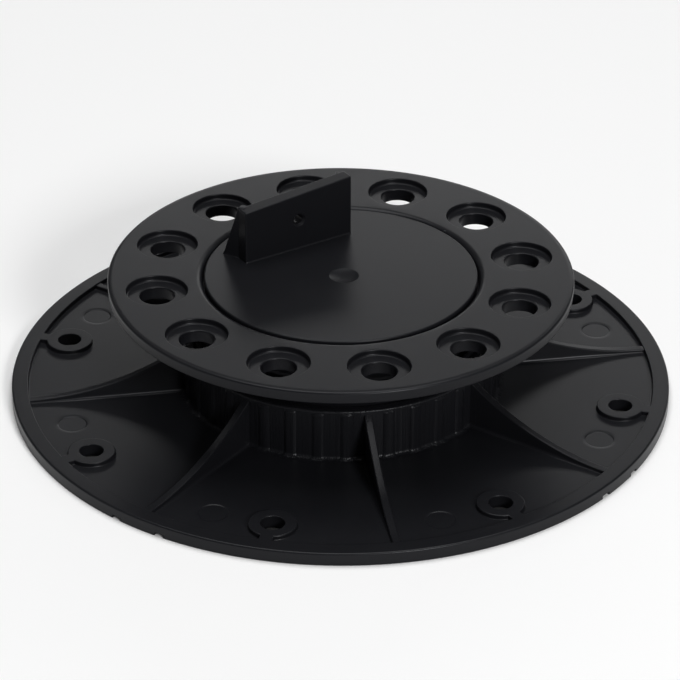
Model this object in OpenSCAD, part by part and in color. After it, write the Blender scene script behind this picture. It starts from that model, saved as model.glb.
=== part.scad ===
// Adjustable decking pedestal: a round base plate, a screw-in head and a joist plate that swivels in it.
// Units are millimetres. +Z is up, and the base plate's underside lies on z = 0, centred on the axis.

/* [Base plate] */
// outer diameter of the base plate
base_d = 200; // [160:1:260]
// thickness of the plate inside the raised rim
plate_t = 2.6; // [2:0.1:4]
// height of the rim and of the screw bosses above the underside
rim_h = 4; // [3.5:0.1:6]
// width of the raised rim
rim_w = 5; // [3:0.5:8]
// rounding of the rim's and the collar's top edges
rim_round = 0.6; // [0.3:0.1:1]
// number of equal sectors, each with one rib and one screw boss
sector_count = 8; // [6:1:12]
// diameter of the circle that the screw bosses stand on
boss_circle_d = 172.4; // [140:0.2:230]
// outer diameter of a screw boss
boss_d = 14.1; // [11:0.1:18]
// diameter of the screw hole in a boss
screw_hole_d = 7; // [4:0.1:9]
// width of the neck that joins a boss to the rim
neck_w = 4; // [3:0.5:8]
// thickness of a rib
rib_w = 2.4; // [1.6:0.1:4]
// height of a rib's outer tip above the underside
rib_tip_h = 3.7; // [2.8:0.1:4]
// radius of the hollow curve along a rib's top edge
rib_curve_r = 84; // [70:1:140]
// diameter of the round ejector-pin marks in the floor
mark_d = 10; // [6:0.5:12]
// depth of an ejector-pin mark
mark_depth = 0.25; // [0.1:0.05:0.5]
// angle from a boss to the next ejector-pin mark
mark_turn = 32.5; // [28:0.1:36]
// how far the circle of the marks lies inside that of the bosses
mark_inset = 1.4; // [0:0.1:6]
// width of a drain notch under the rim
notch_w = 3.4; // [2:0.1:6]
// height of a drain notch
notch_h = 1.2; // [0.6:0.1:2]
// length of a drain notch, in from the rim's outer face
notch_len = 10; // [6:0.5:20]
// angle between a drain notch and the rib that it stands beside
notch_turn = 4.4; // [3:0.1:8]

/* [Collar] */
// height of the collar's top above the underside
collar_h = 18.8; // [14:0.1:30]
// outer diameter of the collar, without its flutes
collar_d = 96; // [80:0.5:120]
// wall thickness of the collar, down to the root of its thread
collar_wall = 3; // [2.4:0.1:5]
// size of the sloped foot between the collar and the plate
collar_foot = 1.2; // [0.6:0.1:3]
// number of upright flutes on the collar in each sector, between two ribs
sector_flutes = 4; // [2:1:5]
// angle from one flute to the next
flute_turn = 10; // [6:0.5:14]
// width of a flute
flute_w = 4.5; // [2:0.1:6]
// how far a flute stands out from the collar
flute_out = 0.5; // [0.3:0.1:1]

/* [Head] */
// height of the head's top above the underside, as the head is set here
head_h = 38.4; // [31:0.1:40]
// outer diameter of the head
head_d = 140; // [120:1:160]
// thickness of the head's flange
flange_t = 3.8; // [3:0.1:6]
// width of the slight bevel along the flange's top edge
flange_bevel_w = 1.4; // [1:0.1:3]
// how far that bevel falls
flange_bevel = 0.2; // [0.1:0.05:0.6]
// rounding between the bevel and the flange's side
flange_round = 0.7; // [0.4:0.1:1.2]
// number of screw holes in the flange
hole_count = 12; // [8:1:16]
// diameter of the circle that the screw holes lie on
hole_circle_d = 111.6; // [106:0.2:122]
// diameter of a screw hole
hole_d = 10.3; // [5:0.1:11]
// diameter of the sunk seat around a screw hole
seat_d = 18.2; // [14:0.1:20]
// depth of the sunk seat
seat_depth = 1.8; // [1:0.1:2.4]
// angle of the first screw hole
hole_turn = 9.2; // [0:0.1:30]
// outer diameter of the sleeve under a screw hole
sleeve_d = 16; // [13:0.1:18]
// length of that sleeve below the flange
sleeve_len = 1.9; // [1:0.1:2.6]
// length of the stem below the flange
stem_len = 20.7; // [14:0.1:24]
// wall thickness of the stem
stem_wall = 3; // [2.4:0.1:5]
// size of the sloped shoulder between the stem and the flange
stem_shoulder = 1.2; // [0.6:0.1:2]
// running clearance between the stem and the collar, on the radius
stem_clearance = 0.3; // [0.3:0.05:0.6]
// thickness of the floor that carries the joist plate
web_t = 2.8; // [2:0.1:4]
// diameter of the opening in that floor
web_hole_d = 48; // [36:0.5:60]
// running clearance around the joist plate's disc
disc_gap = 0.4; // [0.3:0.1:1]
// rounding of the edge where the flange rolls down to the disc
recess_round = 2; // [0.5:0.1:2.4]

/* [Joist plate] */
// diameter of the disc
disc_d = 82.2; // [70:0.1:84]
// thickness of the disc
disc_t = 3.2; // [2.6:0.1:4]
// rounding of the disc's top edge
disc_round = 0.5; // [0.3:0.1:1]
// length of the upright tab
tab_len = 37.5; // [24:0.1:44]
// height of the tab above the disc, at its tall end
tab_h = 19.5; // [14:0.1:30]
// how much lower the tab's other end is
tab_drop = 2.7; // [0:0.1:4]
// thickness of the tab
tab_t = 4.3; // [2.4:0.1:5]
// distance of the tab's face from the axis
tab_face = 20.1; // [16:0.1:26]
// how far the tab's middle lies to the side of the axis
tab_shift = -2.4; // [-4:0.1:4]
// height of the fixing hole above the disc
tab_hole_h = 9.6; // [6:0.1:12]
// how far the fixing hole lies to the side of the axis
tab_hole_shift = -2.3; // [-6:0.1:6]
// diameter of the fixing hole through the tab
tab_hole_d = 3; // [2.5:0.1:6]
// diameter of the fixing hole's countersink
tab_sink_d = 4.4; // [3.5:0.1:10]
// reach of a gusset from the tab's back, along the disc
gusset_reach = 5.4; // [4:0.1:8]
// angle by which a gusset splays outwards
gusset_splay = 31; // [0:1:40]
// thickness of a gusset
gusset_w = 2.5; // [1.6:0.1:4]
// diameter of the shallow dimple in the disc
dimple_d = 9; // [5:0.5:14]
// depth of the dimple
dimple_depth = 0.6; // [0.2:0.1:1]
// how far the dimple lies from the axis, away from the tab
dimple_shift = 1.8; // [0:0.1:4]
// number of snap hooks under the disc
hook_count = 4; // [3:1:6]
// width of the slots between the snap hooks
hook_slot = 14; // [8:0.5:20]
// wall thickness of a snap hook
hook_wall = 2; // [1.4:0.1:3]
// how far a snap hook's barb reaches under the head's floor
hook_barb = 1.2; // [0.6:0.1:2]
// height of the barb, with its sloped lead-in
hook_barb_h = 2.4; // [1.6:0.1:4]
// clearance of the snap hooks in the opening, to the side and below
hook_clearance = 0.4; // [0.3:0.05:0.8]

/* [Hidden] */
$fn = 96;
// overlap that lets joined features share material
bite = 0.6;
// overshoot that lets a cut pass clear through a face
over = 1;
base_r = base_d / 2;
rim_in_r = base_r - rim_w;
sector = 360 / sector_count;
boss_circle_r = boss_circle_d / 2;
mark_circle_r = boss_circle_r - mark_inset;
collar_r = collar_d / 2;
bore_r = collar_r - collar_wall;
head_r = head_d / 2;
flange_z = head_h - flange_t;
bevel_slope = atan(flange_bevel / flange_bevel_w);
flange_edge_r = head_r - flange_round;
bevel_fall = flange_bevel * (1 - flange_round / flange_bevel_w);
flange_edge_z = head_h - bevel_fall - flange_round / cos(bevel_slope);
sleeve_z = flange_z - sleeve_len;
stem_r = bore_r - stem_clearance;
stem_z = flange_z - stem_len;
disc_r = disc_d / 2;
recess_r = disc_r + disc_gap;
disc_z = head_h - disc_t;
web_z = disc_z - web_t;
web_hole_r = web_hole_d / 2;
hook_r = web_hole_r - hook_clearance;
barb_z = web_z - hook_clearance;
hook_z = barb_z - hook_barb_h;
tab_start = tab_shift - tab_len / 2;
tab_top = head_h + tab_h;
tab_low_top = tab_top - tab_drop;

// Plate, raised rim and collar, turned about the axis.
module base_section() {
    polygon([
        [bore_r, 0],
        [base_r, 0],
        [base_r, rim_h - rim_round],
        [base_r - rim_round, rim_h],
        [rim_in_r, rim_h],
        [rim_in_r, plate_t],
        [collar_r + collar_foot, plate_t],
        [collar_r, plate_t + collar_foot],
        [collar_r, collar_h - rim_round],
        [collar_r - rim_round, collar_h],
        [bore_r, collar_h]
    ]);
    translate([base_r - rim_round, rim_h - rim_round]) circle(r = rim_round);
    translate([collar_r - rim_round, collar_h - rim_round]) circle(r = rim_round);
}

// A rib's side: level at its tip by the rim, sweeping up in a hollow curve to the collar.
module rib_side() {
    inner_r = collar_r - bite;
    tip_r = rim_in_r - over;
    difference() {
        translate([inner_r, plate_t - bite])
            square([rim_in_r + bite - inner_r, collar_h - rim_round - plate_t + bite]);
        translate([tip_r, rib_tip_h + rib_curve_r]) circle(r = rib_curve_r);
    }
}

module rib() {
    translate([0, rib_w / 2, 0]) rotate([90, 0, 0]) linear_extrude(rib_w) rib_side();
}

// A round boss, level with the rim and joined to it by a short neck.
module screw_boss() {
    translate([boss_circle_r, 0, plate_t - bite]) {
        cylinder(d = boss_d, h = rim_h - plate_t + bite);
        translate([0, -neck_w / 2, 0])
            cube([rim_in_r + bite - boss_circle_r, neck_w, rim_h - plate_t + bite]);
    }
}

module drain_notch() {
    translate([base_r - notch_len, -notch_w / 2, -over]) cube([notch_len + over, notch_w, notch_h + over]);
}

// One moulding: plate, rim, bosses, ribs and the collar that takes the head's stem.
module base_plate() {
    color([0.09, 0.09, 0.1])
    difference() {
        union() {
            rotate_extrude() base_section();
            for (i = [0 : sector_count - 1]) {
                rotate(i * sector) screw_boss();
                rotate((i + 0.5) * sector) rib();
            }
            for (i = [0 : sector_count - 1], k = [0 : sector_flutes - 1])
                rotate(i * sector + (k - (sector_flutes - 1) / 2) * flute_turn)
                    translate([collar_r - bite, -flute_w / 2, plate_t - bite])
                        cube([bite + flute_out, flute_w, collar_h - rim_round - plate_t]);
        }
        for (i = [0 : sector_count - 1]) {
            rotate(i * sector)
                translate([boss_circle_r, 0, -over]) cylinder(d = screw_hole_d, h = rim_h + 2 * over);
            rotate(mark_turn + i * sector)
                translate([mark_circle_r, 0, plate_t - mark_depth]) cylinder(d = mark_d, h = over);
        }
        for (i = [0 : 2 : sector_count - 1], side = [-1, 1])
            rotate((i + 0.5) * sector + side * notch_turn) drain_notch();
    }
}

// Flange, stem and the floor of the recess, turned about the axis.
module head_section() {
    polygon([
        [web_hole_r, web_z],
        [stem_r - stem_wall, web_z],
        [stem_r - stem_wall, stem_z],
        [stem_r, stem_z],
        [stem_r, flange_z - stem_shoulder],
        [stem_r + stem_shoulder, flange_z],
        [head_r, flange_z],
        [head_r, flange_edge_z],
        [flange_edge_r + flange_round * sin(bevel_slope), flange_edge_z + flange_round * cos(bevel_slope)],
        [head_r - flange_bevel_w, head_h],
        [recess_r + recess_round, head_h],
        [recess_r, head_h - recess_round],
        [recess_r, disc_z],
        [web_hole_r, disc_z]
    ]);
    translate([flange_edge_r, flange_edge_z]) circle(r = flange_round);
    translate([recess_r + recess_round, head_h - recess_round]) circle(r = recess_round);
}

// One moulding: drilled flange with the recess for the disc, and below it the sleeves and the hollow stem.
module screw_head() {
    color([0.1, 0.1, 0.11])
    difference() {
        union() {
            rotate_extrude() head_section();
            for (i = [0 : hole_count - 1])
                rotate(hole_turn + i * 360 / hole_count)
                    translate([hole_circle_d / 2, 0, sleeve_z])
                        cylinder(d = sleeve_d, h = sleeve_len + bite);
        }
        for (i = [0 : hole_count - 1])
            rotate(hole_turn + i * 360 / hole_count) translate([hole_circle_d / 2, 0, 0]) {
                translate([0, 0, sleeve_z - over]) cylinder(d = hole_d, h = head_h - sleeve_z + 2 * over);
                translate([0, 0, head_h - seat_depth]) cylinder(d = seat_d, h = seat_depth + over);
            }
    }
}

// Disc with its top edge rounded, turned about the axis.
module disc_section() {
    polygon([
        [0, disc_z],
        [disc_r, disc_z],
        [disc_r, head_h - disc_round],
        [disc_r - disc_round, head_h],
        [0, head_h]
    ]);
    translate([disc_r - disc_round, head_h - disc_round]) circle(r = disc_round);
}

// Snap hooks under the disc: a ring with a barbed lower edge, slotted into separate hooks.
module snap_hooks() {
    difference() {
        rotate_extrude() polygon([
            [hook_r - hook_wall, disc_z + bite],
            [hook_r, disc_z + bite],
            [hook_r, barb_z],
            [hook_r + hook_clearance + hook_barb, barb_z],
            [hook_r, hook_z],
            [hook_r - hook_wall, hook_z]
        ]);
        for (i = [0 : hook_count - 1])
            rotate(i * 360 / hook_count)
                translate([0, -hook_slot / 2, hook_z - over])
                    cube([web_hole_r + hook_barb + over, hook_slot, disc_z - hook_z + over]);
    }
}

// Upright tab whose top edge falls away to one side.
module tab() {
    translate([0, tab_face + tab_t, 0]) rotate([90, 0, 0]) linear_extrude(tab_t) polygon([
        [tab_start, head_h - bite],
        [tab_start + tab_len, head_h - bite],
        [tab_start + tab_len, tab_top],
        [tab_start, tab_low_top]
    ]);
}

// Triangular gusset behind the tab's left end, from the disc up to the given height, splayed outwards.
module gusset(top) {
    root = gusset_w * tan(gusset_splay) + bite;
    translate([tab_start, tab_face + tab_t, 0])
        rotate([90, 0, 90 + gusset_splay]) linear_extrude(gusset_w) polygon([
            [-root, head_h - bite],
            [gusset_reach, head_h - bite],
            [gusset_reach, head_h],
            [0, top],
            [-root, top]
        ]);
}

// One moulding: disc that turns in the head's recess, its snap hooks, the upright tab and two gussets.
module joist_plate() {
    dimple_r = (dimple_d * dimple_d / 4 + dimple_depth * dimple_depth) / (2 * dimple_depth);
    color([0.11, 0.11, 0.12])
    difference() {
        union() {
            rotate_extrude() disc_section();
            snap_hooks();
            tab();
            gusset(tab_low_top);
            translate([2 * tab_shift, 0, 0]) mirror([1, 0, 0])
                gusset(tab_top - tab_drop * gusset_w / tab_len);
        }
        translate([0, -dimple_shift, head_h - dimple_depth + dimple_r]) sphere(r = dimple_r);
        translate([tab_hole_shift, tab_face, head_h + tab_hole_h]) rotate([-90, 0, 0]) {
            translate([0, 0, -over]) cylinder(d = tab_hole_d, h = tab_t + 2 * over);
            cylinder(d1 = tab_sink_d, d2 = tab_hole_d, h = (tab_sink_d - tab_hole_d) / 2);
        }
    }
}

base_plate();
screw_head();
joist_plate();
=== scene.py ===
import math

import bmesh
import bpy
from mathutils import Matrix, Quaternion, Vector


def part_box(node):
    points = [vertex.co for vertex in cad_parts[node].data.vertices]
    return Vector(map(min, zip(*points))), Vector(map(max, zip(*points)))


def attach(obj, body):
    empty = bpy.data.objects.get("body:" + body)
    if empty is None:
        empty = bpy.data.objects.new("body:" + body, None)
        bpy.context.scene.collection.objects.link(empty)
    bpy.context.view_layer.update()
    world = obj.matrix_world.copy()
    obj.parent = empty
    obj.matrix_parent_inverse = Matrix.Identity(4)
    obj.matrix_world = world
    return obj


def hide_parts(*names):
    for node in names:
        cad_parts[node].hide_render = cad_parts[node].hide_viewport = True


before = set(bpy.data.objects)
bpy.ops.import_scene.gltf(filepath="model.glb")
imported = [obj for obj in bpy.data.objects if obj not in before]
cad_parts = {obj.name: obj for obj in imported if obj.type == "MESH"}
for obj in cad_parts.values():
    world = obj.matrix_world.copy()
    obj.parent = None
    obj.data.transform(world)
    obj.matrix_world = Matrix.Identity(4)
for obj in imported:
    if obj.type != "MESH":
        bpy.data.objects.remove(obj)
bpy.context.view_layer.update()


# Base plate
# One injection moulding in black polypropylene: a round plate with a raised rim, screw bosses, and ribs
# that sweep up to a fluted collar. The collar's bore has a coarse thread for the head's stem.
mm = 0.001
_, base_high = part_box("base_plate")
base_r = base_high.x
collar_h = base_high.z
plate_t = 2.6 * mm
rim_h = 4 * mm
rim_w = 5 * mm
rim_in_r = base_r - rim_w
collar_r = 48 * mm
bore_r = 45 * mm
sectors = 8
sector_deg = 360 / sectors
plastic_dark = (0.0068, 0.0070, 0.0084, 1)
plastic_light = (0.0086, 0.0088, 0.0104, 1)

# How far a fused piece reaches into its neighbour, a cut runs past a face, a rounding runs past the face
# it meets, and a rounded foot or mouth runs out to the side. Points closer than the weld are one.
bite = 0.6 * mm
over = 1 * mm
skim = 0.03 * mm
run_out = 1 * mm
weld = 0.0001 * mm


class Wire:
    """A socket of a node tree. Sums and products of wires and numbers add Math nodes to the tree."""

    def __init__(self, socket):
        self.socket = socket

    @classmethod
    def add(cls, tree, kind, settings=None, sockets=None, output=None):
        """Adds a node: first its settings, then the values or links of its sockets, by name or number."""
        node = tree.nodes.new(kind)
        for key, value in (settings or {}).items():
            setattr(node, key, value)
        for key, value in (sockets or {}).items():
            named = [s for s in node.inputs if s.enabled and key in (s.name, s.identifier)]
            socket = node.inputs[key] if isinstance(key, int) else named[0]
            if isinstance(value, cls):
                tree.links.new(value.socket, socket)
            else:
                socket.default_value = value
        given = [s for s in node.outputs if s.enabled and output in (None, s.name)]
        return cls(given[0]) if given else None

    def math(self, operation, *others):
        return Wire.add(self.socket.id_data, "ShaderNodeMath", {"operation": operation},
                        dict(enumerate((self, *others))))

    def __add__(self, other):
        return self.math("ADD", other)

    def __sub__(self, other):
        return self.math("SUBTRACT", other)

    def __rsub__(self, other):
        return (self * -1).math("ADD", other)

    def __mul__(self, other):
        return self.math("MULTIPLY", other)

    def __truediv__(self, other):
        return self.math("DIVIDE", other)

    __radd__ = __add__
    __rmul__ = __mul__


def moulded_plastic(name, dark, light, drag_r=0.0):
    """Satin black polypropylene: fine eroded grain, a cloudy sheen and faint flow lines from the middle.
    Walls within the drag radius have upright lines from the mould."""
    material = bpy.data.materials.new(name)
    material.use_nodes = True
    tree = material.node_tree
    tree.nodes.clear()
    place = Wire.add(tree, "ShaderNodeTexCoord", output="Object")
    flat = Wire.add(tree, "ShaderNodeVectorMath", {"operation": "MULTIPLY"}, {0: place, 1: (1, 1, 0)})
    outward = Wire.add(tree, "ShaderNodeVectorMath", {"operation": "NORMALIZE"}, {0: flat})
    drift = Wire.add(tree, "ShaderNodeVectorMath", {"operation": "MULTIPLY"}, {0: place, 1: (6, 6, 6)})
    along_flow = Wire.add(tree, "ShaderNodeVectorMath", {"operation": "ADD"}, {0: outward, 1: drift})
    streaks = Wire.add(tree, "ShaderNodeTexNoise", None,
                       {"Vector": along_flow, "Scale": 9, "Detail": 4, "Roughness": 0.6}, "Fac")
    clouds = Wire.add(tree, "ShaderNodeTexNoise", None,
                      {"Vector": place, "Scale": 45, "Detail": 3, "Roughness": 0.55}, "Fac")
    grain = Wire.add(tree, "ShaderNodeTexNoise", None,
                     {"Vector": place, "Scale": 2600, "Detail": 2, "Roughness": 0.6}, "Fac")
    tone = (streaks + clouds) / 2
    colour = Wire.add(tree, "ShaderNodeMix", {"data_type": "RGBA"}, {"Factor": tone, "A": dark, "B": light})
    grained = Wire.add(tree, "ShaderNodeBump", None,
                       {"Strength": 0.12, "Distance": 0.05 * mm, "Height": grain})
    drawn_out = Wire.add(tree, "ShaderNodeVectorMath", {"operation": "MULTIPLY"},
                         {0: place, 1: (1, 1, 0.02)})
    lines = Wire.add(tree, "ShaderNodeTexNoise", None,
                     {"Vector": drawn_out, "Scale": 600, "Detail": 3, "Roughness": 0.6}, "Fac")
    axis_distance = Wire.add(tree, "ShaderNodeVectorMath", {"operation": "LENGTH"}, {0: flat}, "Value")
    drag = lines * axis_distance.math("LESS_THAN", drag_r)
    dragged = Wire.add(tree, "ShaderNodeBump", None,
                       {"Strength": 1.0, "Distance": 0.35 * mm, "Height": drag, "Normal": grained})
    mean_roughness = 0.33
    sheen = mean_roughness + (clouds - 0.5) * 0.06 + (streaks - 0.5) * 0.04 + (grain - 0.5) * 0.08
    plastic = Wire.add(tree, "ShaderNodeBsdfPrincipled", None, {
        "Base Color": colour, "Roughness": sheen, "IOR": 1.49, "Specular IOR Level": 0.18,
        "Specular Tint": (0.96, 0.97, 1, 1), "Normal": dragged})
    Wire.add(tree, "ShaderNodeOutputMaterial", None, {"Surface": plastic})
    return material


def rounded(corners, steps=5):
    """Closed outline of (across, up, radius) corners, each turned into an arc of its radius."""
    outline = []
    for before, corner, after in zip(corners[-1:] + corners[:-1], corners, corners[1:] + corners[:1]):
        tip, radius = Vector(corner[:2]), corner[2]
        if radius == 0:
            outline.append(tip)
            continue
        back = (Vector(before[:2]) - tip).normalized()
        onward = (Vector(after[:2]) - tip).normalized()
        half = back.angle(onward) / 2
        centre = tip + (back + onward).normalized() * radius / math.sin(half)
        first = tip + back * radius / math.tan(half) - centre
        last = tip + onward * radius / math.tan(half) - centre
        outline += [centre + first.slerp(last, i / steps) * radius for i in range(steps + 1)]
    return outline


def skin(name, loops, closed=False):
    """Closed mesh over a row of like loops of points, joined end to start or capped at both ends."""
    bm = bmesh.new()
    rows = [[bm.verts.new(point) for point in loop] for loop in loops]
    for row, other in zip(rows, rows[1:] + rows[:closed]):
        for i in range(len(row)):
            bm.faces.new((row[i - 1], row[i], other[i], other[i - 1]))
    if not closed:
        bm.faces.new(rows[0])
        bm.faces.new(rows[-1])
    bmesh.ops.remove_doubles(bm, verts=bm.verts, dist=weld)
    bmesh.ops.delete(bm, geom=[e for e in bm.edges if not e.link_faces], context="EDGES")
    bmesh.ops.recalc_face_normals(bm, faces=bm.faces)
    mesh = bpy.data.meshes.new(name)
    bm.to_mesh(mesh)
    bm.free()
    return mesh


def turned(name, outline, around=240):
    """Mesh of a closed (radius, height) outline turned about the upright axis."""
    angles = [math.tau * i / around for i in range(around)]
    loops = [[(p.x * math.cos(a), p.x * math.sin(a), p.y) for p in outline] for a in angles]
    return skin(name, loops, closed=True)


def blade(name, start, end, width, top, floor, foot, crown, ends=0.0, stations=32):
    """Upright wall along x, with crowned upper edges, filleted feet and, where asked, rounded ends."""
    least_h = 0.3 * mm
    round_share = 0.45
    places = [(start + (end - start) * i / stations, 0.0) for i in range(stations + 1)]
    if ends:
        quarter_turn = [math.pi * i / 10 for i in range(6)]
        arcs = [(ends * (1 - math.cos(a)), ends * (1 - math.sin(a))) for a in quarter_turn]
        middle = [(x, 0.0) for x, _ in places if start + ends < x < end - ends]
        places = [(start + x, inset) for x, inset in arcs] + middle
        places += [(end - x, inset) for x, inset in reversed(arcs)]
    loops = []
    for x, inset in places:
        half = width / 2 - inset
        high = max(top(x) - inset, floor + least_h)
        flare = min(foot, round_share * (high - floor))
        edge = min(crown, round_share * (high - floor), 0.9 * half)
        spread = half + 1.5 * flare
        side = [(spread, floor - bite, 0), (spread, floor - skim, 0), (half, floor - skim, flare),
                (half, high, edge)]
        section = side + [(-y, z, r) for y, z, r in reversed(side)]
        loops.append([(x, p.x, p.y) for p in rounded(section)])
    return skin(name, loops)


def geometry_tree(name, inputs):
    """Empty geometry tree with named inputs, as the tree, its input wires and their identifiers."""
    tree = bpy.data.node_groups.new(name, "GeometryNodeTree")
    names = {label: tree.interface.new_socket(label, in_out="INPUT", socket_type=kind).identifier
             for label, kind in inputs.items()}
    tree.interface.new_socket("Geometry", in_out="OUTPUT", socket_type="NodeSocketGeometry")
    given = tree.nodes.new("NodeGroupInput")
    return tree, [Wire(given.outputs[label]) for label in inputs], names


def end_tree(tree, geometry, finish):
    """Ends a geometry tree in real geometry with its finish on."""
    real = Wire.add(tree, "GeometryNodeRealizeInstances", None, {"Geometry": geometry})
    done = Wire.add(tree, "GeometryNodeSetMaterial", None, {"Geometry": real, "Material": finish})
    Wire.add(tree, "NodeGroupOutput", None, {"Geometry": done})


def put(name, data):
    """Puts a mesh, a lamp or a camera into the scene."""
    thing = bpy.data.objects.new(name, data)
    bpy.context.scene.collection.objects.link(thing)
    return thing


def settle(thing):
    """Turns an object's modifiers into its plain mesh."""
    view = bpy.context.evaluated_depsgraph_get()
    shaped = thing.evaluated_get(view)
    mesh = bpy.data.meshes.new_from_object(shaped, preserve_all_data_layers=True, depsgraph=view)
    thing.modifiers.clear()
    thing.data = mesh


def grown(name, mesh, tree, names, **values):
    """Mesh that a geometry tree makes with the given inputs."""
    thing = put(name, mesh)
    modifier = thing.modifiers.new(name, "NODES")
    modifier.node_group = tree
    for label, value in values.items():
        modifier[names[label.replace("_", " ")]] = value
    settle(thing)
    mesh = thing.data
    mesh.name = name
    bpy.data.objects.remove(thing)
    return mesh


ring_tree, ring_wires, ring_names = geometry_tree("ring of copies", {
    "Piece": "NodeSocketGeometry", "Copies": "NodeSocketInt", "First turn": "NodeSocketFloat",
    "Finish": "NodeSocketMaterial"})
piece, copies, first_turn, finish = ring_wires
index = Wire.add(ring_tree, "GeometryNodeInputIndex")
turn = Wire.add(ring_tree, "ShaderNodeCombineXYZ", None, {"Z": first_turn + index / copies * math.tau})
spots = Wire.add(ring_tree, "GeometryNodePoints", None, {"Count": copies})
placed = Wire.add(ring_tree, "GeometryNodeInstanceOnPoints", None,
                  {"Points": spots, "Instance": piece, "Rotation": turn})
end_tree(ring_tree, placed, finish)


def ring(name, mesh, copies, first_deg, finish):
    """Copies of a mesh, evenly turned about the upright axis."""
    return grown(name, mesh, ring_tree, ring_names, Copies=copies, First_turn=math.radians(first_deg),
                 Finish=finish)


# The thread's ridge runs out to almost nothing over a fifth of a turn at both ends.
thread_tree, thread_wires, thread_names = geometry_tree("screw thread", {
    "Piece": "NodeSocketGeometry", "Radius": "NodeSocketFloat", "Rise": "NodeSocketFloat",
    "Turns": "NodeSocketFloat", "Depth": "NodeSocketFloat", "Inner width": "NodeSocketFloat",
    "Outer width": "NodeSocketFloat", "Finish": "NodeSocketMaterial"})
_, radius, rise, turns, depth, inner_width, outer_width, finish = thread_wires
helix = Wire.add(thread_tree, "GeometryNodeCurveSpiral", None, {
    "Resolution": 160, "Rotations": turns, "Start Radius": radius, "End Radius": radius, "Height": rise})
upright = Wire.add(thread_tree, "GeometryNodeSetCurveNormal", {"mode": "Z_UP"}, {"Curve": helix})
section = Wire.add(thread_tree, "GeometryNodeCurvePrimitiveQuadrilateral", {"mode": "TRAPEZOID"}, {
    "Height": depth * 2, "Bottom Width": inner_width, "Top Width": outer_width, "Offset": 0.0})
travel = Wire.add(thread_tree, "GeometryNodeSplineParameter", output="Factor")
fade_rate = 5
end_size = 0.04
fade = travel.math("MINIMUM", 1 - travel) * turns * fade_rate
taper = fade.math("MINIMUM", 1.0).math("MAXIMUM", end_size)
ridge = Wire.add(thread_tree, "GeometryNodeCurveToMesh", None, {
    "Curve": upright, "Profile Curve": section, "Scale": taper, "Fill Caps": True})
end_tree(thread_tree, ridge, finish)


def moulding(name, body, adds, cuts, finish):
    """One closed moulding: a body with its additions fused on and its cuts taken out."""
    sharp_deg = 35
    whole = put(name, body)
    tools = []
    for operation, meshes in (("UNION", adds), ("DIFFERENCE", cuts)):
        for mesh in meshes:
            tools.append(put(mesh.name, mesh))
            step = whole.modifiers.new(mesh.name, "BOOLEAN")
            step.operation = operation
            step.solver = "MANIFOLD"
            step.object = tools[-1]
    settle(whole)
    for tool in tools:
        bpy.data.objects.remove(tool)
    whole.data.name = name
    whole.data.materials.clear()
    whole.data.materials.append(finish)
    whole.data.shade_smooth()
    whole.data.set_sharp_from_angle(angle=math.radians(sharp_deg))
    even = whole.modifiers.new("even shading", "WEIGHTED_NORMAL")
    even.keep_sharp = True
    even.weight = 80
    settle(whole)
    return whole


base_finish = moulded_plastic("base_polypropylene", plastic_dark, plastic_light, drag_r=collar_r + 2 * mm)
base_body = turned("plate_rim_and_collar", rounded([
    (bore_r, 0, 0.3 * mm), (base_r, 0, 0.3 * mm), (base_r, rim_h, 0.6 * mm), (rim_in_r, rim_h, 0.3 * mm),
    (rim_in_r, plate_t, 0.35 * mm), (collar_r, plate_t, 1.2 * mm), (collar_r, collar_h, 0.6 * mm),
    (bore_r, collar_h, 0.5 * mm)]))

boss_circle_r = 86.2 * mm
boss_r = 7.05 * mm
boss_foot_r = boss_r + run_out
boss = turned("boss", rounded([
    (0, plate_t - bite, 0), (boss_foot_r, plate_t - bite, 0), (boss_foot_r, plate_t - skim, 0),
    (boss_r, plate_t - skim, 0.4 * mm), (boss_r, rim_h, 0.35 * mm), (0, rim_h, 0)]), 64)
boss.transform(Matrix.Translation((boss_circle_r, 0, 0)))

neck_w = 4 * mm
neck = blade("neck", boss_circle_r, rim_in_r + bite, neck_w, lambda x: rim_h, plate_t,
             foot=0.4 * mm, crown=0.35 * mm, stations=2)

rib_w = 2.4 * mm
rib_tip_gap = 1 * mm
rib_tip_r = rim_in_r - rib_tip_gap
rib_tip_h = 3.7 * mm
rib_curve_r = 84 * mm
rib_highest = collar_h - 0.6 * mm


def rib_top(x):
    """Height of a rib's hollow upper edge, level at the tip and rising to the collar."""
    run = max(rib_tip_r - x, 0)
    return min(rib_tip_h + rib_curve_r - math.sqrt(rib_curve_r ** 2 - run ** 2), rib_highest)


rib = blade("rib", collar_r - bite, rim_in_r + bite, rib_w, rib_top, plate_t, foot=1.1 * mm, crown=0.4 * mm)

sector_flutes = 4
flute_turn_deg = 10
flute_w = 4.5 * mm
flute_out = 0.5 * mm
flute_out_at_top = 0.05 * mm
flute_edge = 1.6 * mm
flute_root = 1.8 * mm
flute_top = collar_h - 0.8 * mm
flute_foot = 1.2 * mm
flute_levels = [(plate_t - bite, flute_out, flute_foot)]
for a in (math.pi * i / 12 for i in range(7)):
    height = plate_t - skim + flute_foot * (1 - math.cos(a))
    flute_levels.append((height, flute_out, flute_foot * (1 - math.sin(a))))
flute_levels += [(flute_top - flute_out, flute_out, 0), (flute_top, flute_out_at_top, 0)]
flute_loops = []
for height, out, flare in flute_levels:
    half = flute_w / 2 + flare
    corners = [(collar_r - flute_root, -half, 0), (collar_r + out + flare, -half, flute_edge),
               (collar_r + out + flare, half, flute_edge), (collar_r - flute_root, half, 0)]
    flute_loops.append([(p.x, p.y, height) for p in rounded(corners, 4)])
flute = skin("flute", flute_loops)

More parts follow.
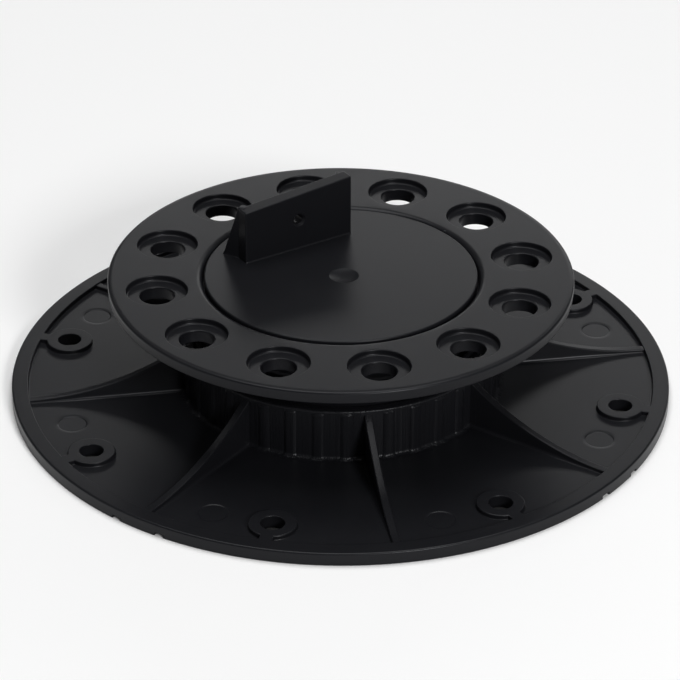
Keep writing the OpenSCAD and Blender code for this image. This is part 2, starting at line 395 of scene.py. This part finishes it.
thread_pitch = 4 * mm
thread_start = 1.5 * mm
thread_stop = 2 * mm
thread_turns = (collar_h - thread_start - thread_stop) / thread_pitch
collar_thread = grown("collar_thread", bpy.data.meshes.new("helix"), thread_tree, thread_names,
                      Radius=bore_r, Rise=thread_turns * thread_pitch, Turns=thread_turns, Depth=0.55 * mm,
                      Inner_width=1.1 * mm, Outer_width=2.1 * mm, Finish=base_finish)
collar_thread.transform(Matrix.Translation((0, 0, thread_start)))

screw_hole_r = 3.5 * mm
screw_mouth_r = screw_hole_r + run_out
hole_cut = turned("screw_hole", rounded([
    (0, -over, 0), (screw_mouth_r, -over, 0), (screw_mouth_r, -skim, 0), (screw_hole_r, -skim, 0.3 * mm),
    (screw_hole_r, rim_h + skim, 0.35 * mm), (screw_mouth_r, rim_h + skim, 0),
    (screw_mouth_r, rim_h + over, 0), (0, rim_h + over, 0)]), 48)
hole_cut.transform(Matrix.Translation((boss_circle_r, 0, 0)))

mark_r = 5 * mm
mark_mouth_r = mark_r + 1.6 * mm
mark_floor = plate_t - 0.25 * mm
mark_circle_r = boss_circle_r - 1.4 * mm
mark_turn_deg = 32.5
mark_cut = turned("ejector_mark", rounded([
    (0, mark_floor, 0), (mark_r - 0.9 * mm, mark_floor, 0.3 * mm),
    (mark_r - 0.6 * mm, plate_t - 0.12 * mm, 0.3 * mm), (mark_r + 0.8 * mm, plate_t + skim, 4 * mm),
    (mark_mouth_r, plate_t + skim, 0), (mark_mouth_r, plate_t + over, 0), (0, plate_t + over, 0)]), 64)
mark_cut.transform(Matrix.Translation((mark_circle_r, 0, 0)))

notch_w = 3.4 * mm
notch_h = 1.2 * mm
notch_len = 10 * mm
notch_turn_deg = 4.4
notch_section = rounded([
    (-notch_w / 2, -over, 0), (notch_w / 2, -over, 0), (notch_w / 2, notch_h, 0.3 * mm),
    (-notch_w / 2, notch_h, 0.3 * mm)])
notch_ends = (base_r - notch_len, base_r + over)
notch_cut = skin("drain_notch", [[(x, p.x, p.y) for p in notch_section] for x in notch_ends])

base = moulding("moulded_base", base_body, [
    ring("bosses", boss, sectors, 0, base_finish),
    ring("necks", neck, sectors, 0, base_finish),
    ring("ribs", rib, sectors, sector_deg / 2, base_finish),
    *[ring(f"flutes_{k + 1}", flute, sectors, (k - (sector_flutes - 1) / 2) * flute_turn_deg, base_finish)
      for k in range(sector_flutes)],
    collar_thread,
], [
    ring("screw_holes", hole_cut, sectors, 0, base_finish),
    ring("ejector_marks", mark_cut, sectors, mark_turn_deg, base_finish),
    ring("left_notches", notch_cut, sectors // 2, sector_deg / 2 - notch_turn_deg, base_finish),
    ring("right_notches", notch_cut, sectors // 2, sector_deg / 2 + notch_turn_deg, base_finish),
], base_finish)
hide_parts("base_plate")
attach(base, "base")


# Screw head
# One injection moulding in the same polypropylene: a flange with twelve counterbored screw holes, a sunk
# seat for the joist plate, and a hollow threaded stem below, which screws up and down in the collar.
head_low, head_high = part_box("screw_head")
head_r = head_high.x
head_h = head_high.z
stem_z = head_low.z
flange_t = 3.8 * mm
flange_z = head_h - flange_t
flange_draft = 0.25 * mm
flange_bevel = 0.2 * mm
flange_bevel_w = 1.4 * mm
recess_r = 41.5 * mm
recess_round = 2 * mm
recess_depth = 3.2 * mm
disc_z = head_h - recess_depth
web_t = 2.8 * mm
web_z = disc_z - web_t
web_hole_r = 24 * mm
stem_core_r = 43 * mm
stem_in_r = 41.7 * mm

head_finish = moulded_plastic("head_polypropylene", plastic_dark, plastic_light)
head_body = turned("flange_and_stem", rounded([
    (web_hole_r, web_z, 0.2 * mm), (stem_in_r, web_z, 0.8 * mm), (stem_in_r, stem_z, 0.3 * mm),
    (stem_core_r, stem_z, 0.4 * mm), (stem_core_r, flange_z, 1.4 * mm),
    (head_r - flange_draft, flange_z, 0.4 * mm), (head_r, head_h - flange_bevel, 0.7 * mm),
    (head_r - flange_bevel_w, head_h, 3 * mm), (recess_r, head_h, recess_round),
    (recess_r, disc_z, 0.3 * mm), (web_hole_r, disc_z, 0.2 * mm)]))

stem_lead = 1 * mm
stem_plain = 3.5 * mm
stem_turns = (flange_z - stem_z - stem_plain) / thread_pitch
stem_thread = grown("stem_thread", bpy.data.meshes.new("helix"), thread_tree, thread_names,
                    Radius=stem_core_r, Rise=stem_turns * thread_pitch, Turns=stem_turns, Depth=1.2 * mm,
                    Inner_width=2.6 * mm, Outer_width=0.9 * mm, Finish=head_finish)
stem_thread.transform(Matrix.Translation((0, 0, stem_z + stem_lead)))

hole_count = 12
hole_r = 5.15 * mm
hole_circle_r = 55.8 * mm
hole_turn_deg = 9.2
hole_mouth_r = hole_r + run_out
sleeve_r = 8 * mm
sleeve_len = 1.9 * mm
sleeve_z = flange_z - sleeve_len
sleeve_foot_r = sleeve_r + run_out
sleeve = turned("sleeve", rounded([
    (0, sleeve_z, 0), (sleeve_r, sleeve_z, 0.3 * mm), (sleeve_r, flange_z + skim, 0.5 * mm),
    (sleeve_foot_r, flange_z + skim, 0), (sleeve_foot_r, flange_z + bite, 0), (0, flange_z + bite, 0)]), 72)
seat_r = 9.1 * mm
seat_depth = 1.8 * mm
seat_z = head_h - seat_depth
seat_mouth_r = seat_r + run_out
seat_cut = turned("counterbored_hole", rounded([
    (0, sleeve_z - over, 0), (hole_mouth_r, sleeve_z - over, 0), (hole_mouth_r, sleeve_z - skim, 0),
    (hole_r, sleeve_z - skim, 0.3 * mm), (hole_r, seat_z, 0.4 * mm), (seat_r, seat_z, 0.6 * mm),
    (seat_r, head_h + skim, 0.45 * mm), (seat_mouth_r, head_h + skim, 0), (seat_mouth_r, head_h + over, 0),
    (0, head_h + over, 0)]), 72)
for mesh in (sleeve, seat_cut):
    mesh.transform(Matrix.Translation((hole_circle_r, 0, 0)))

# The nub left by the gate sits half-way down the rolled edge of the recess.
nub_r = 0.5 * mm
nub_turn_deg = 8.6
roll_middle = 0.6 * mm
nub_angles = [math.pi * (i / 8 - 0.5) for i in range(9)]
nub_arc = [Vector((nub_r * math.cos(a), nub_r * math.sin(a))) for a in nub_angles]
gate_nub = turned("gate_nub", nub_arc, 16)
gate_nub.transform(Matrix.Rotation(math.radians(nub_turn_deg), 4, "Z")
                   @ Matrix.Translation((recess_r + roll_middle, 0, head_h - roll_middle)))

head = moulding("moulded_head", head_body,
                [stem_thread, gate_nub, ring("sleeves", sleeve, hole_count, hole_turn_deg, head_finish)],
                [ring("screw_seats", seat_cut, hole_count, hole_turn_deg, head_finish)], head_finish)
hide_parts("screw_head")
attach(head, "head")


# Joist plate
# One injection moulding in the same polypropylene: a disc that snaps into the head's seat and swivels
# there, and an upright tab with two gussets and a countersunk hole, through which a screw holds the joist.
plate_low, plate_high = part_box("joist_plate")
disc_r = plate_high.x
tab_top = plate_high.z
hook_z = plate_low.z
tab_face = 20.1 * mm
tab_t = 4.3 * mm
tab_back = tab_face + tab_t
tab_len = 37.5 * mm
tab_shift = -2.4 * mm
tab_start = tab_shift - tab_len / 2
tab_end = tab_start + tab_len
tab_drop = 2.7 * mm


def tab_edge(x):
    """Height of the tab's upper edge, which falls away to the left."""
    return tab_top - tab_drop * (tab_end - x) / tab_len


plate_finish = moulded_plastic("joist_plate_polypropylene", plastic_dark, plastic_light)
disc_body = turned("disc", rounded([
    (0, disc_z + skim, 0), (disc_r, disc_z + skim, 0.2 * mm), (disc_r, head_h, 0.5 * mm), (0, head_h, 0)]))
tab = blade("tab", tab_start, tab_end, tab_t, tab_edge, head_h,
            foot=0.5 * mm, crown=0.4 * mm, ends=0.4 * mm)
tab.transform(Matrix.Translation((0, tab_face + tab_t / 2, 0)))

gusset_w = 2.5 * mm
gusset_reach = 5.4 * mm
gusset_splay = math.radians(31)
gusset_root = gusset_w * math.tan(gusset_splay) + bite
gussets = []
for name, corner, outward in (("left_gusset", tab_start, -1), ("right_gusset", tab_end, 1)):
    rise = tab_edge(corner - outward * gusset_w) - head_h
    gusset = blade(name, -gusset_root, gusset_reach, gusset_w,
                   lambda x: head_h + rise * min(1 - x / gusset_reach, 1), head_h,
                   foot=0.4 * mm, crown=0.3 * mm)
    gusset.transform(Matrix.Translation((corner, tab_back, 0))
                     @ Matrix.Rotation(math.pi / 2 - outward * gusset_splay, 4, "Z")
                     @ Matrix.Translation((0, outward * gusset_w / 2, 0)))
    gussets.append(gusset)

hook_count = 4
hook_gap = 0.4 * mm
hook_r = web_hole_r - hook_gap
hook_in_r = hook_r - 2 * mm
barb_r = hook_r + 1.6 * mm
barb_z = web_z - hook_gap
hook_ring = turned("hooks", rounded([
    (hook_in_r, disc_z + bite, 0), (hook_r, disc_z + bite, 0), (hook_r, barb_z, 0.2 * mm),
    (barb_r, barb_z, 0.3 * mm), (hook_r, hook_z, 0.3 * mm), (hook_in_r, hook_z, 0.3 * mm)]), 120)
slot_half = 7 * mm
slot_ends = (10 * mm, web_hole_r + 3 * mm)
slot_section = [(-slot_half, hook_z - over), (slot_half, hook_z - over), (slot_half, disc_z),
                (-slot_half, disc_z)]
slot_cut = skin("hook_slot", [[(x, y, z) for y, z in slot_section] for x in slot_ends])

dimple_mouth_r = 4.5 * mm
dimple_depth = 0.6 * mm
dimple_shift = -1.8 * mm
dimple_sweep = 0.42
dimple_r = (dimple_mouth_r ** 2 + dimple_depth ** 2) / (2 * dimple_depth)
dimple_arc = [Vector((dimple_r * math.sin(a), head_h - dimple_depth + dimple_r * (1 - math.cos(a))))
              for a in (dimple_sweep * i / 16 for i in range(17))]
dimple_cut = turned("dimple", dimple_arc + [Vector((0, dimple_arc[-1].y))], 64)
dimple_cut.transform(Matrix.Translation((0, dimple_shift, 0)))

tab_hole_r = 1.5 * mm
tab_hole_shift = -2.3 * mm
tab_hole_h = 9.6 * mm
tab_sink_r = 2.2 * mm
tab_mouth_r = tab_sink_r + 0.4 * mm
sink_cut = turned("countersunk_hole", rounded([
    (0, -over, 0), (tab_mouth_r, -over, 0), (tab_mouth_r, -skim, 0), (tab_sink_r, -skim, 0.15 * mm),
    (tab_hole_r, tab_sink_r - tab_hole_r, 0.2 * mm), (tab_hole_r, tab_t + over, 0),
    (0, tab_t + over, 0)]), 40)
sink_cut.transform(Matrix.Translation((tab_hole_shift, tab_face, head_h + tab_hole_h))
                   @ Matrix.Rotation(-math.pi / 2, 4, "X"))

joist_plate = moulding("moulded_joist_plate", disc_body, [hook_ring, tab, *gussets], [
    ring("hook_slots", slot_cut, hook_count, 0, plate_finish), dimple_cut, sink_cut], plate_finish)
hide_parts("joist_plate")
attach(joist_plate, "joist_carrier")


# Studio
# A pale floor with painted shade where the base covers it, a low soft lamp behind, one overhead and one in
# front, and a camera with a long lens, turned to look at the pedestal from the corner of its joist tab.
turn_from_front = math.radians(32.25)
right = Vector((math.cos(turn_from_front), -math.sin(turn_from_front), 0))
back = Vector((math.sin(turn_from_front), math.cos(turn_from_front), 0))
up = Vector((0, 0, 1))

world = bpy.data.worlds.new("studio")
world.use_nodes = True
world.node_tree.nodes.clear()
sky = Wire.add(world.node_tree, "ShaderNodeBackground", None, {"Color": (1, 1, 1, 1), "Strength": 0.09})
Wire.add(world.node_tree, "ShaderNodeOutputWorld", None, {"Surface": sky})
bpy.context.scene.world = world

# The floor is painted dark where the base covers it. This is painted shade, so that little light comes back
# up through the screw holes.
floor_half = 3.0
floor_white = (0.95, 0.95, 0.95, 1)
# Colour of the painted shade on the floor under the base.
floor_painted_shade = (0.04, 0.04, 0.04, 1)
painted_shade_r = boss_circle_r + screw_hole_r + 0.5 * mm
floor_corners = [(-floor_half, -floor_half, 0), (floor_half, -floor_half, 0), (floor_half, floor_half, 0),
                 (-floor_half, floor_half, 0)]
floor_mesh = bpy.data.meshes.new("floor")
floor_mesh.from_pydata(floor_corners, [], [(0, 1, 2, 3)])
floor = put("floor", floor_mesh)
floor_paint = bpy.data.materials.new("floor_paint")
floor_paint.use_nodes = True
tree = floor_paint.node_tree
tree.nodes.clear()
place = Wire.add(tree, "ShaderNodeTexCoord", output="Object")
from_axis = Wire.add(tree, "ShaderNodeVectorMath", {"operation": "LENGTH"}, {0: place}, "Value")
# Painted shade: the floor is dark under the base, out to just past the screw holes, and pale beyond.
beyond_painted_shade = from_axis.math("GREATER_THAN", painted_shade_r)
paint = Wire.add(tree, "ShaderNodeMix", {"data_type": "RGBA"},
                 {"Factor": beyond_painted_shade, "A": floor_painted_shade, "B": floor_white})
matte = Wire.add(tree, "ShaderNodeBsdfDiffuse", None, {"Color": paint})
Wire.add(tree, "ShaderNodeOutputMaterial", None, {"Surface": matte})
floor_mesh.materials.append(floor_paint)

aim = Vector((0, 0, 15 * mm))


def softbox(name, side_deg, height_deg, distance, width, depth, watts):
    """Rectangular soft lamp facing the part, placed by its angle from straight behind and its height."""
    side, height = math.radians(side_deg), math.radians(height_deg)
    level = back * math.cos(side) + right * math.sin(side)
    toward = level * math.cos(height) + up * math.sin(height)
    lamp = bpy.data.lights.new(name, "AREA")
    lamp.shape = "RECTANGLE"
    lamp.size = width
    lamp.size_y = depth
    lamp.energy = watts
    thing = put(name, lamp)
    thing.location = aim + toward * distance
    thing.rotation_mode = "QUATERNION"
    thing.rotation_quaternion = toward.to_track_quat("Z", "Y")


softbox("back_softbox", side_deg=8, height_deg=21, distance=2.0, width=1.3, depth=0.26, watts=4.0)
softbox("top_softbox", side_deg=0, height_deg=84, distance=2.0, width=1.6, depth=1.6, watts=31)
softbox("front_softbox", side_deg=154, height_deg=27, distance=2.0, width=0.4, depth=0.4, watts=21)

camera_data = bpy.data.cameras.new("camera")
camera_data.sensor_width = 36
camera_data.lens = 174.4
camera = put("camera", camera_data)
look_down = math.radians(30.05)
camera_distance = 1.0
camera_roll = math.radians(0.25)
target = right * -0.18 * mm + up * 15.2 * mm
toward_camera = -back * math.cos(look_down) + up * math.sin(look_down)
camera.location = target + toward_camera * camera_distance
camera.rotation_mode = "QUATERNION"
camera.rotation_quaternion = toward_camera.to_track_quat("Z", "Y") @ Quaternion((0, 0, 1), camera_roll)
bpy.context.scene.camera = camera
bpy.context.scene.view_settings.view_transform = "Standard"
